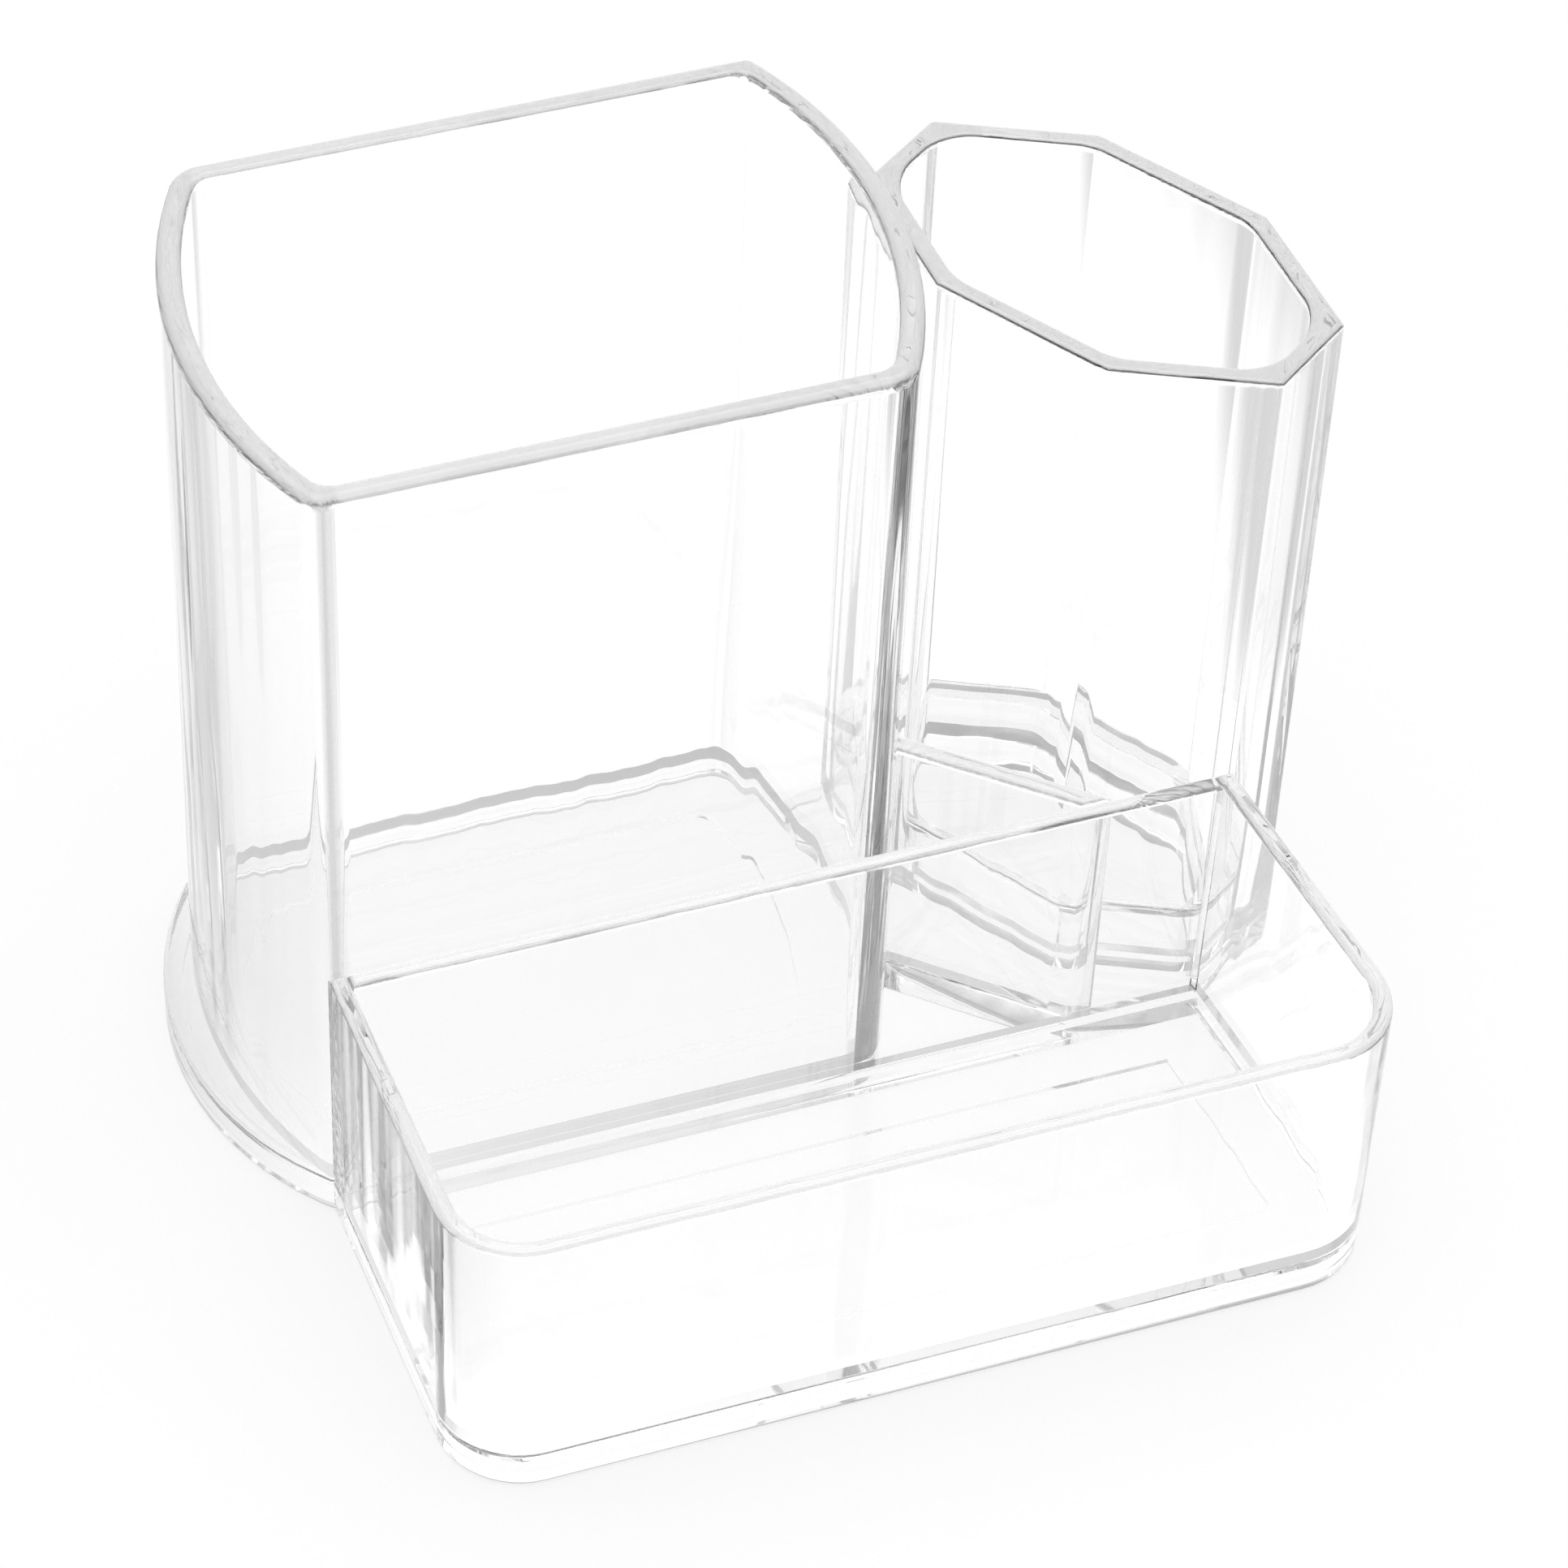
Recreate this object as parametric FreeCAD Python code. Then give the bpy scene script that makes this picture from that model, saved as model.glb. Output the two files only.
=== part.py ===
"""Clear makeup brush holder: base plate, tall cup, eight-sided cup, low tray and link wall."""
import FreeCAD, Part
import math
import os

Vector = FreeCAD.Vector

# Tall cup: straight front and back, bowed ends.
cup_height = 105.0
cup_width = 60.6
cup_depth = 50.9
cup_bow = 7.05
cup_wall = 2.6
cup_corner_round = 2.4
cup_rim_outer = 1.3
cup_rim_inner = 0.8

# Eight-sided cup, long and narrow, turned against the tray, with a raised floor on a ledge.
oct_height = 93.5
oct_length = 51.1
oct_width = 29.7
oct_end_facet = 11.7
oct_side_facet = 20.8
oct_turn = -54.8
oct_past_cup = 29.6
oct_behind_tray = 24.35
oct_wall = 2.3
oct_edge_round = 0.8
oct_inner_round = 6.0
oct_rim_round = 0.8
oct_floor_top = 14.5
oct_floor_height = 7.7
oct_floor_sheet = 2.4
oct_floor_skirt = 2.0
oct_ledge = 1.2

# Low tray in front: the sides spread a little towards the front.
tray_height = 37.9
tray_depth = 41.1
tray_left_spread = 2.0
tray_past_cup = 39.4
tray_right_spread = 5.6
tray_wall = 2.0
tray_corner_round = 9.2
tray_rim_round = 0.8

# Base plate and the arched foot past the tall cup's left end: hollow underneath, inside a skirt,
# with a slightly thinner panel in the middle of each floor.
plate_thickness = 5.2
foot_bow = 10.7
web_back_step = 10.9
skirt_width = 2.0
hollow_depth = 2.8
panel_inset = 9.6
panel_depth = 3.4

# Link wall from the tray's back wall to the tall cup, along the open corner of the plate.
link_past_cup = 22.1
link_lean_in = 3.4
link_reach = 15.5
link_wall_thickness = 2.3

# Bonded tongue joints between the walls and the plate.
tongue_inset = 0.7
tongue_width = 1.0
tongue_depth = 1.2
side_gap = 0.05
tip_gap = 0.1
bond_gap = 0.05


def point(pair):
    """Plan point as a vector on the ground."""
    return Vector(pair[0], pair[1], 0)


def polygon(pairs):
    """Flat face inside a closed run of plan points."""
    edges = []
    for index, pair in enumerate(pairs):
        following = pairs[(index + 1) % len(pairs)]
        edges.append(Part.makeLine(point(pair), point(following)))
    return Part.Face(Part.Wire(edges))


def prism(face, low, high):
    """Upright solid over a plan face between two heights."""
    flat = face.copy()
    flat.translate(Vector(0, 0, low))
    return flat.extrude(Vector(0, 0, high - low))


def inset(face, distance):
    """The same outline moved inwards."""
    wire = face.OuterWire.makeOffset2D(-distance, 2, False, False)
    return Part.Face(wire)


def upright_edges(solid, chosen=None):
    """Vertical edges of a prism, all of them or those near the given plan points."""
    found = []
    for edge in solid.Edges:
        first = edge.Vertexes[0].Point
        last = edge.Vertexes[-1].Point
        if abs(first.z - last.z) < 1.0:
            continue
        if chosen is None:
            found.append(edge)
            continue
        for pair in chosen:
            if math.hypot(first.x - pair[0], first.y - pair[1]) < 0.5:
                found.append(edge)
    return found


def rounded(face, radius, chosen=None):
    """Plan face with its corners rounded."""
    block = prism(face, 0, 10)
    block = block.makeFillet(radius, upright_edges(block, chosen))
    for side in block.Faces:
        if abs(side.CenterOfMass.z) < 0.001:
            return Part.Face(side.OuterWire)
    return face


def rim_edges(solid, height, face, inner):
    """Top edges on the inner or outer outline of a sleeve."""
    found = []
    for edge in solid.Edges:
        if min(v.Point.z for v in edge.Vertexes) < height - 0.001:
            continue
        middle = edge.valueAt((edge.FirstParameter + edge.LastParameter) / 2)
        flat = Vector(middle.x, middle.y, 0)
        away = face.OuterWire.distToShape(Part.Vertex(flat))[0]
        if (away > 0.2) == inner:
            found.append(edge)
    return found


def tongue(face):
    """Plan ring of the tongue under a closed sleeve."""
    return ring(face, tongue_inset, tongue_inset + tongue_width)


def ring(face, outer, inner):
    """Plan ring between two inward offsets of an outline."""
    return inset(face, outer).cut(inset(face, inner)).Faces[0]


def sleeve(outer, inner, height, outer_round, inner_round):
    """Open wall standing on the plate, with a rounded rim and a tongue underneath."""
    wall = prism(outer, plate_thickness, height)
    wall = wall.cut(prism(inner, plate_thickness - 1, height + 1))
    wall = wall.makeFillet(outer_round, rim_edges(wall, height, outer, False))
    wall = wall.makeFillet(inner_round, rim_edges(wall, height, outer, True))
    key = prism(tongue(outer), plate_thickness - tongue_depth, plate_thickness)
    return wall.fuse(key).removeSplitter()


def groove(face):
    """Groove in the plate for the tongue of a closed sleeve."""
    wide = ring(face, tongue_inset - side_gap, tongue_inset + tongue_width + side_gap)
    return prism(wide, plate_thickness - tongue_depth - tip_gap, plate_thickness + 1)


def strip_key(face, low):
    """Tongue under an open strip of wall."""
    return prism(inset(face, tongue_inset), low, plate_thickness)


def strip_groove(face):
    """Groove for the tongue under an open strip of wall."""
    low = plate_thickness - tongue_depth - tip_gap
    return prism(inset(face, tongue_inset - side_gap), low, plate_thickness + 1)


def bowed(width, depth, left, right):
    """Outline with a straight front and back and two bowed ends."""
    a = Vector(0, 0, 0)
    b = Vector(0, depth, 0)
    c = Vector(width, depth, 0)
    d = Vector(width, 0, 0)
    west = Part.Arc(a, Vector(-left, depth / 2, 0), b).toShape()
    east = Part.Arc(c, Vector(width + right, depth / 2, 0), d).toShape()
    return Part.Face(Part.Wire([west, Part.makeLine(b, c), east, Part.makeLine(d, a)]))


def octagon_points():
    """Corners of the eight-sided cup, starting at the back left."""
    turn = math.radians(oct_turn)
    along = (math.cos(turn), math.sin(turn))
    across = (-along[1], along[0])
    tip = oct_length / 2
    flank = oct_width / 2
    half_end = oct_end_facet / 2
    half_side = oct_side_facet / 2
    quarter = [(-tip, half_end), (-half_side, flank), (half_side, flank), (tip, half_end)]
    corners = quarter + [(-u, -v) for u, v in quarter]
    points = []
    for u, v in corners:
        x = cup_width + oct_past_cup + u * along[0] + v * across[0]
        y = oct_behind_tray + u * along[1] + v * across[1]
        points.append((x, y))
    return points


def tray_outline(back):
    """Tray outline with the side lines carried on past the back by the given length."""
    corner = cup_width + tray_past_cup
    left = -tray_left_spread / tray_depth * back
    right = corner - tray_right_spread / tray_depth * back
    front_left = (tray_left_spread, -tray_depth)
    front_right = (corner + tray_right_spread, -tray_depth)
    face = polygon([(left, back), front_left, front_right, (right, back)])
    return rounded(face, tray_corner_round, [front_left, front_right])


def link_line(y):
    """Plan point on the open edge of the plate between tray and tall cup, at a given depth."""
    slope = (link_lean_in - link_past_cup) / link_reach
    return (cup_width + link_past_cup + slope * y, y)


def link_outline():
    """Plan of the link wall, ending short of the tray's back wall and of the tall cup."""
    start = point(link_line(-link_reach))
    end = point(link_line(link_reach))
    side = (end - start).cross(Vector(0, 0, 1)).normalize() * link_wall_thickness
    corners = [start, end, end + side, start + side]
    band = polygon([(corner.x, corner.y) for corner in corners])
    behind_tray = polygon([(0, 0), (2 * cup_width, 0), (2 * cup_width, cup_depth), (0, cup_depth)])
    clear_of_cup = Part.Face(cup_face.OuterWire.makeOffset2D(bond_gap, 2, False, False))
    return Part.Face(band.common(behind_tray).cut(clear_of_cup).Faces[0].OuterWire)


def rim_softened(wall, height, radius):
    """Strip of wall with its top long edges rounded."""
    top = []
    for edge in wall.Edges:
        if min(v.Point.z for v in edge.Vertexes) < height - 0.001:
            continue
        if edge.Length > 3 * radius + tray_wall:
            top.append(edge)
    return wall.makeFillet(radius, top)


# Outlines in plan; the tall cup's front left corner is at zero.
cup_sharp = bowed(cup_width, cup_depth, cup_bow, cup_bow)
cup_face = rounded(cup_sharp, cup_corner_round, [(cup_width, 0), (0, cup_depth)])
cup_inner = rounded(inset(cup_sharp, cup_wall), cup_corner_round)
oct_points = octagon_points()
oct_sharp = polygon(oct_points)
oct_face = rounded(oct_sharp, oct_edge_round)
oct_inner = rounded(inset(oct_sharp, oct_wall), oct_inner_round)
tray_long = tray_outline(cup_wall * 3)
half_plane = polygon([(-50, 0), (-50, -100), (200, -100), (200, 0)])
tray_face = Part.Face(tray_long.common(half_plane).Faces[0].OuterWire)
tray_room = inset(tray_long, tray_wall)
side_strip = Part.Face(tray_long.cut(tray_room).common(half_plane).Faces[0].OuterWire)
back_box = polygon([(-50, -bond_gap), (-50, -tray_wall), (200, -tray_wall), (200, -bond_gap)])
back_strip = Part.Face(inset(tray_long, tray_wall + bond_gap).common(back_box).Faces[0].OuterWire)
link_strip = link_outline()

# Walls.
large_cup = sleeve(cup_face, cup_inner, cup_height, cup_rim_outer, cup_rim_inner)
octagonal_cup = sleeve(oct_face, oct_inner, oct_height, oct_rim_round, oct_rim_round)
floor_low = oct_floor_top - oct_floor_height
oct_hollow = inset(oct_inner, oct_ledge)
ledge = prism(oct_inner.cut(oct_hollow).Faces[0], plate_thickness, floor_low)
octagonal_cup = octagonal_cup.fuse(ledge).removeSplitter()
octagonal_floor = prism(inset(oct_inner, bond_gap), floor_low + bond_gap, oct_floor_top)
floor_hollow = prism(inset(oct_inner, oct_floor_skirt), plate_thickness, oct_floor_top - oct_floor_sheet)
octagonal_floor = octagonal_floor.cut(floor_hollow)
key_low = plate_thickness - tongue_depth
tray_sides = rim_softened(prism(side_strip, plate_thickness, tray_height), tray_height, tray_rim_round)
tray_sides = tray_sides.fuse(strip_key(side_strip, key_low)).removeSplitter()
tray_back = rim_softened(prism(back_strip, plate_thickness, tray_height), tray_height, tray_rim_round)
tray_back = tray_back.fuse(strip_key(back_strip, key_low)).removeSplitter()
link_wall = rim_softened(prism(link_strip, plate_thickness, tray_height), tray_height, tray_rim_round)
link_wall = link_wall.fuse(strip_key(link_strip, key_low)).removeSplitter()

# Base plate: outlines of cup, foot, eight-sided cup and tray, and the web between the cups.
foot_face = bowed(cup_width, cup_depth, foot_bow, cup_bow)
foot_face = rounded(foot_face, cup_corner_round, [(cup_width, 0), (0, cup_depth)])
web_points = [link_line(link_reach), link_line(-1), (oct_points[4][0] - 1, -1)]
web_points += [oct_points[2], oct_points[7], (cup_width + link_lean_in, cup_depth - web_back_step)]
plate = prism(foot_face, 0, plate_thickness)
for face in (oct_face, tray_face, polygon(web_points)):
    plate = plate.fuse(prism(face, 0, plate_thickness))
plate = plate.removeSplitter()
for face in (cup_face, oct_face):
    plate = plate.cut(groove(face))
for face in (side_strip, back_strip, link_strip):
    plate = plate.cut(strip_groove(face))
for face in (foot_face, tray_face):
    plate = plate.cut(prism(inset(face, skirt_width), -1, hollow_depth))
    plate = plate.cut(prism(inset(face, panel_inset), -1, panel_depth))
plate = plate.cut(prism(oct_hollow, -1, plate_thickness + 1))

nodes = {
    "base_plate": plate,
    "large_cup": large_cup,
    "octagonal_cup": octagonal_cup,
    "octagonal_cup_floor": octagonal_floor,
    "tray_wall": tray_sides,
    "tray_back_wall": tray_back,
    "link_wall": link_wall,
}

# The middle of the whole footprint goes to zero.
box = FreeCAD.BoundBox()
for shape in nodes.values():
    box.add(shape.optimalBoundingBox(False, False))
middle = Vector(-box.Center.x, -box.Center.y, 0)
os.makedirs("parts", exist_ok=True)
for name, compound in nodes.items():
    shape = compound.Solids[0]
    shape.translate(middle)
    shape.exportStep("parts/" + name + ".step")
    print(name, shape.ShapeType, len(shape.Solids), shape.isValid(), round(shape.Volume, 1))
print("box", box.XMin, box.XMax, box.YMin, box.YMax, box.ZMin, box.ZMax)
print("moved by", middle.x, middle.y)
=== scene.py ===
import math

import bmesh
import bpy
from mathutils import Matrix, Vector
from mathutils.geometry import delaunay_2d_cdt


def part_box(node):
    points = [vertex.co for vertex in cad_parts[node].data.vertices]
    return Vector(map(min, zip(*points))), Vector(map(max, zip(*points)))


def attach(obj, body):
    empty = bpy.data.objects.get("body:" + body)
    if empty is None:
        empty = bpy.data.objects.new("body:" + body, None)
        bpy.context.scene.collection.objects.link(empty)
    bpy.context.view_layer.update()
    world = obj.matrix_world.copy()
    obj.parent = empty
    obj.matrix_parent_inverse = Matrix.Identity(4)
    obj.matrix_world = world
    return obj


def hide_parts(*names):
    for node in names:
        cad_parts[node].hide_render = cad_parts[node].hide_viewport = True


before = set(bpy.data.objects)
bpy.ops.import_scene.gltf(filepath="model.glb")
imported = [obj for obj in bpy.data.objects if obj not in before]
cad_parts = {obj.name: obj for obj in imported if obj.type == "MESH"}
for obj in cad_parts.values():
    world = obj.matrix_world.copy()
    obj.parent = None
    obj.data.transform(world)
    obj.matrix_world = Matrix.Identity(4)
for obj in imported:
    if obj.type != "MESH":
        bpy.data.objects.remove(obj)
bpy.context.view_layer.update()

bl_info = {
    "name": "Clear Makeup Brush Holder",
    "version": (1, 0, 0),
    "blender": (4, 5, 0),
    "location": "View3D > Sidebar > Brush Holder",
    "description": "Builds a clear plastic brush holder: tall cup, eight-sided cup, low tray and base plate",
    "category": "Add Mesh",
}

CUP_LOW, CUP_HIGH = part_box("large_cup")
OCTAGON_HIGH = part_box("octagonal_cup")[1]
TRAY_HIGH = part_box("tray_wall")[1]

# Edges that turn by more than this stay crisp.
CRISP_ANGLE = math.radians(40)
# Level edges of the plate that turn by more than this are its rims, which get rounded.
RIM_ANGLE = math.radians(69)
# A face whose normal points down by more than this belongs to the underside.
UNDERSIDE = -0.9
# Segments of an arc in the plan: a bowed end, a corner, a large corner of the tray, the table.
BOW_STEPS, CORNER_STEPS, TRAY_CORNER_STEPS, TABLE_STEPS = 24, 8, 12, 96
# Segments of a rounded edge: the cups' rims outside and inside, the tray's rim, the plate.
CUP_RIM_STEPS, CUP_MOUTH_STEPS, RIM_STEPS, EDGE_STEPS = 6, 5, 4, 3
# How far neighbouring outlines of the plate's plan reach into each other.
OVERLAP = 0.001
# Points this close count as one, and edges that climb less than this count as level.
SAME_POINT, SAME_LEVEL = 1e-7, 1e-6
# Output kind of the plan's subdivision: crossing outlines cut into faces without holes.
VALID_FACES = 4
# Light is followed through many clear walls, so that the edges don't turn black.
LIGHT_BOUNCES = 64
SENSOR_WIDTH = 36.0
NEAR_CLIP = 0.01


def length(name, text, value):
    """A size in metres, written in millimetres."""
    return bpy.props.FloatProperty(
        name=name, description=text, default=value / 1000, unit="LENGTH", precision=5)


class HolderCup(bpy.types.PropertyGroup):
    """Sizes of the tall cup with bowed ends."""

    width: length("Width", "Straight front, from corner to corner", 60.6)
    depth: length("Depth", "From the front wall to the back wall", 50.9)
    bow: length("Bow", "How far each end bulges past its corners", 7.05)
    wall: length("Wall", "Thickness of the wall at the rim", 2.6)
    draft: length("Draft", "How much thicker the wall is at its foot", 0.5)
    soft_corner: length("Soft corner", "Radius of the right front and left back corners", 3.6)
    crisp_corner: length("Crisp corner", "Radius of the left front and right back corners", 1.4)
    inner_corner: length("Inner corner", "Radius of the inner corners", 2.4)
    rim_outer: length("Outer rim", "Radius of the rim's outer edge", 1.25)
    rim_inner: length("Inner rim", "Radius of the rim's inner edge", 0.8)
    height: bpy.props.FloatProperty(
        name="Height", description="Rim above the table", default=CUP_HIGH.z, unit="LENGTH")


class HolderOctagon(bpy.types.PropertyGroup):
    """Sizes of the eight-sided cup."""

    along: length("Length", "Between the two end facets", 51.1)
    across: length("Width", "Between the two side facets", 29.7)
    end_facet: length("End facet", "Width of an end facet", 11.7)
    side_facet: length("Side facet", "Width of a side facet", 20.8)
    past_cup: length("Past the cup", "Middle of the cup past the tall cup's right front corner", 29.6)
    behind_tray: length("Behind the tray", "Middle of the cup behind the tray's back face", 24.35)
    turn: bpy.props.FloatProperty(
        name="Turn", description="Turn of the long axis", default=math.radians(-54.8), subtype="ANGLE")
    wall: length("Wall", "Thickness of the wall", 2.3)
    outer_corner: length("Outer corner", "Radius of the outer edges", 0.8)
    inner_corner: length("Inner corner", "Radius of the inner corners", 6.0)
    rim: length("Rim", "Radius of the rim's edges", 0.75)
    floor_top: length("Floor top", "Top of the raised floor above the table", 14.5)
    floor_height: length("Floor height", "Height of the raised floor with its skirt", 7.7)
    floor_sheet: length("Floor sheet", "Thickness of the raised floor's top", 2.4)
    floor_skirt: length("Floor skirt", "Width of the skirt under the raised floor", 2.0)
    ledge: length("Ledge", "Ledge that carries the raised floor", 1.2)
    height: bpy.props.FloatProperty(
        name="Height", description="Rim above the table", default=OCTAGON_HIGH.z, unit="LENGTH")


class HolderTray(bpy.types.PropertyGroup):
    """Sizes of the low tray and of the link wall behind it."""

    depth: length("Depth", "From the back face to the front", 41.1)
    past_cup: length("Past the cup", "Right back corner past the tall cup's right front corner", 39.4)
    left_spread: length("Left spread", "Left side, front corner against back corner", 2.0)
    right_spread: length("Right spread", "Right side, front corner against back corner", 5.6)
    wall: length("Wall", "Thickness of the wall at the rim", 2.0)
    draft: length("Draft", "How much thicker the wall is at its foot", 0.5)
    corner: length("Corner", "Radius of the front corners", 9.2)
    rim: length("Rim", "Radius of the rim's edges", 0.8)
    link_past_cup: length("Link start", "Link wall at the tray, past the tall cup's corner", 22.1)
    link_lean_in: length("Link end", "Link wall at its reach, past the tall cup's corner", 3.4)
    link_reach: length("Link reach", "Depth over which the link wall leans", 15.5)
    link_wall: length("Link thickness", "Thickness of the link wall", 2.3)
    link_meets: bpy.props.FloatProperty(
        name="Link meets cup", description="Share of the reach where the link wall meets the tall cup",
        default=0.87, subtype="FACTOR")
    height: bpy.props.FloatProperty(
        name="Height", description="Rim above the table", default=TRAY_HIGH.z, unit="LENGTH")


class HolderPlate(bpy.types.PropertyGroup):
    """Sizes of the base plate."""

    thickness: length("Thickness", "Thickness of the plate", 5.2)
    foot_bow: length("Foot bow", "How far the arched foot bulges past the tall cup's left corners", 10.7)
    back_step: length("Back step", "Web between the cups, back from the tall cup's back wall", 10.9)
    skirt: length("Skirt", "Width of the skirt around the hollow underside", 2.0)
    hollow_depth: length("Hollow depth", "Depth of the hollow underside", 2.8)
    panel_inset: length("Panel inset", "Margin around the thinner panel of each floor", 9.6)
    panel_corner: length("Panel corner", "Least radius of a panel's front corners", 1.0)
    panel_depth: length("Panel depth", "Underside of the panels above the table", 3.4)
    edge: length("Edge", "Radius of the plate's edges", 0.6)
    seam: length("Seam", "Cemented seam between two pieces", 0.05)


class HolderFinish(bpy.types.PropertyGroup):
    """Finish of the clear plastic."""

    tint: bpy.props.StringProperty(
        name="Tint", description="Colour of the light that comes through, as sRGB hex", default="#FFFFFF")
    depth_loss: bpy.props.FloatProperty(
        name="Depth loss", description="Light lost on a long way through the plastic, per metre", default=1.5)
    ior: bpy.props.FloatProperty(name="IOR", description="Index of refraction of acrylic", default=1.49)
    polish: bpy.props.FloatProperty(
        name="Polish", description="Roughness of the polished faces", default=0.012, subtype="FACTOR")
    scuff: bpy.props.FloatProperty(
        name="Scuff", description="Roughness where handling has dulled the faces", default=0.05,
        subtype="FACTOR")
    ripple: length("Ripple", "Width of the faint upright streaks that moulding leaves", 6.0)
    streak: bpy.props.FloatProperty(
        name="Streak", description="Height of the streaks, as a multiple of their width", default=14.0)
    wave: bpy.props.FloatProperty(
        name="Wave", description="Strength of the streaks", default=0.08, subtype="FACTOR")
    wave_height: length("Wave height", "Height of the streaks at full strength", 2.0)
    patch: length("Patch", "Width of the patches that handling has dulled", 22.0)
    patch_start: bpy.props.FloatProperty(
        name="Patch start", description="Level of the cloudy pattern where a dull patch begins", default=0.5,
        subtype="FACTOR")
    patch_full: bpy.props.FloatProperty(
        name="Patch full", description="Level of the cloudy pattern where a patch is dullest", default=0.78,
        subtype="FACTOR")


class HolderStage(bpy.types.PropertyGroup):
    """Floor, light and camera."""

    floor_colour: bpy.props.StringProperty(
        name="Floor", description="Colour of the floor, as sRGB hex", default="#FAFAFA")
    floor_reach: bpy.props.FloatProperty(
        name="Floor reach", description="Radius of the table", default=4.0, unit="LENGTH")
    floor_drop: length("Floor drop", "Gap that keeps the table clear of the plate", 0.4)
    floor_matt: bpy.props.FloatProperty(
        name="Floor shade", description="Share of the floor that takes shadows", default=0.2,
        subtype="FACTOR")
    floor_glow: bpy.props.FloatProperty(
        name="Floor glow", description="Light that lifts the pale floor to white", default=0.85)
    # Painted light: this setting and the pool settings below paint a pool of light onto the table, seen only
    # in reflections and through the plastic. It glows brightest around the object and is painted dimmer far
    # from it.
    painted_pool_glow: bpy.props.FloatProperty(
        name="Painted pool glow", description="The same for the floor as seen through the plastic", default=0.952)
    painted_pool_middle: bpy.props.FloatVectorProperty(
        name="Painted pool middle", description="Middle of the painted lit patch of the table", default=(0.021, 0.057, 0),
        subtype="XYZ")
    pool_size: bpy.props.FloatVectorProperty(
        name="Painted pool size", description="Half sizes of the painted lit patch of the table", default=(0.067, 0.108, 1),
        subtype="XYZ")
    painted_pool_fade: bpy.props.FloatProperty(
        name="Painted pool fade", description="Sizes of the painted lit patch over which the table darkens", default=1.42)
    painted_pool_edge: bpy.props.FloatProperty(
        name="Painted pool edge", description="Painted brightness of the table far from the object", default=0.5)
    room_level: bpy.props.FloatProperty(
        name="Room", description="Brightness of the room around the table", default=0.38)
    softbox_level: bpy.props.FloatProperty(
        name="Softbox", description="Brightness of the light overhead", default=2.2)
    softbox_low: bpy.props.FloatProperty(
        name="Softbox edge", description="Sine of the height where the light overhead begins", default=0.7)
    softbox_high: bpy.props.FloatProperty(
        name="Softbox full", description="Sine of the height where the light overhead is full", default=0.9)
    azimuth: bpy.props.FloatProperty(
        name="Azimuth", description="Turn of the camera", default=math.radians(-20.976), subtype="ANGLE")
    elevation: bpy.props.FloatProperty(
        name="Elevation", description="Height of the camera as an angle", default=math.radians(46.666),
        subtype="ANGLE")
    roll: bpy.props.FloatProperty(
        name="Roll", description="Tilt of the camera", default=math.radians(2.877), subtype="ANGLE")
    lens: bpy.props.FloatProperty(name="Lens", description="Focal length in millimetres", default=140.644)
    place: bpy.props.FloatVectorProperty(
        name="Place", description="Place of the camera", default=(-0.155265, -0.408417, 0.509517),
        subtype="XYZ")


def corner_of_cup():
    """Left front corner of the tall cup, from which the other places are counted."""
    cup = bpy.context.scene.holder_cup
    return Vector((CUP_LOW.x + cup.bow, CUP_LOW.y, 0))


def linear(hex_colour):
    """sRGB hex as a linear colour with full alpha."""
    parts = [int(hex_colour[i:i + 2], 16) / 255 for i in (1, 3, 5)]
    return [c / 12.92 if c <= 0.04045 else ((c + 0.055) / 1.055) ** 2.4 for c in parts] + [1.0]


def add_node(tree, kind, links=(), **settings):
    """Adds a node, sets its properties and sockets, and links (socket, source output) pairs into it."""
    node = tree.nodes.new(kind)
    for key, value in settings.items():
        if key.startswith("_"):
            node.inputs[key[1:].replace("_", " ")].default_value = value
        else:
            setattr(node, key, value)
    for socket, source in links:
        tree.links.new(source, node.inputs[socket])
    return node


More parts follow.
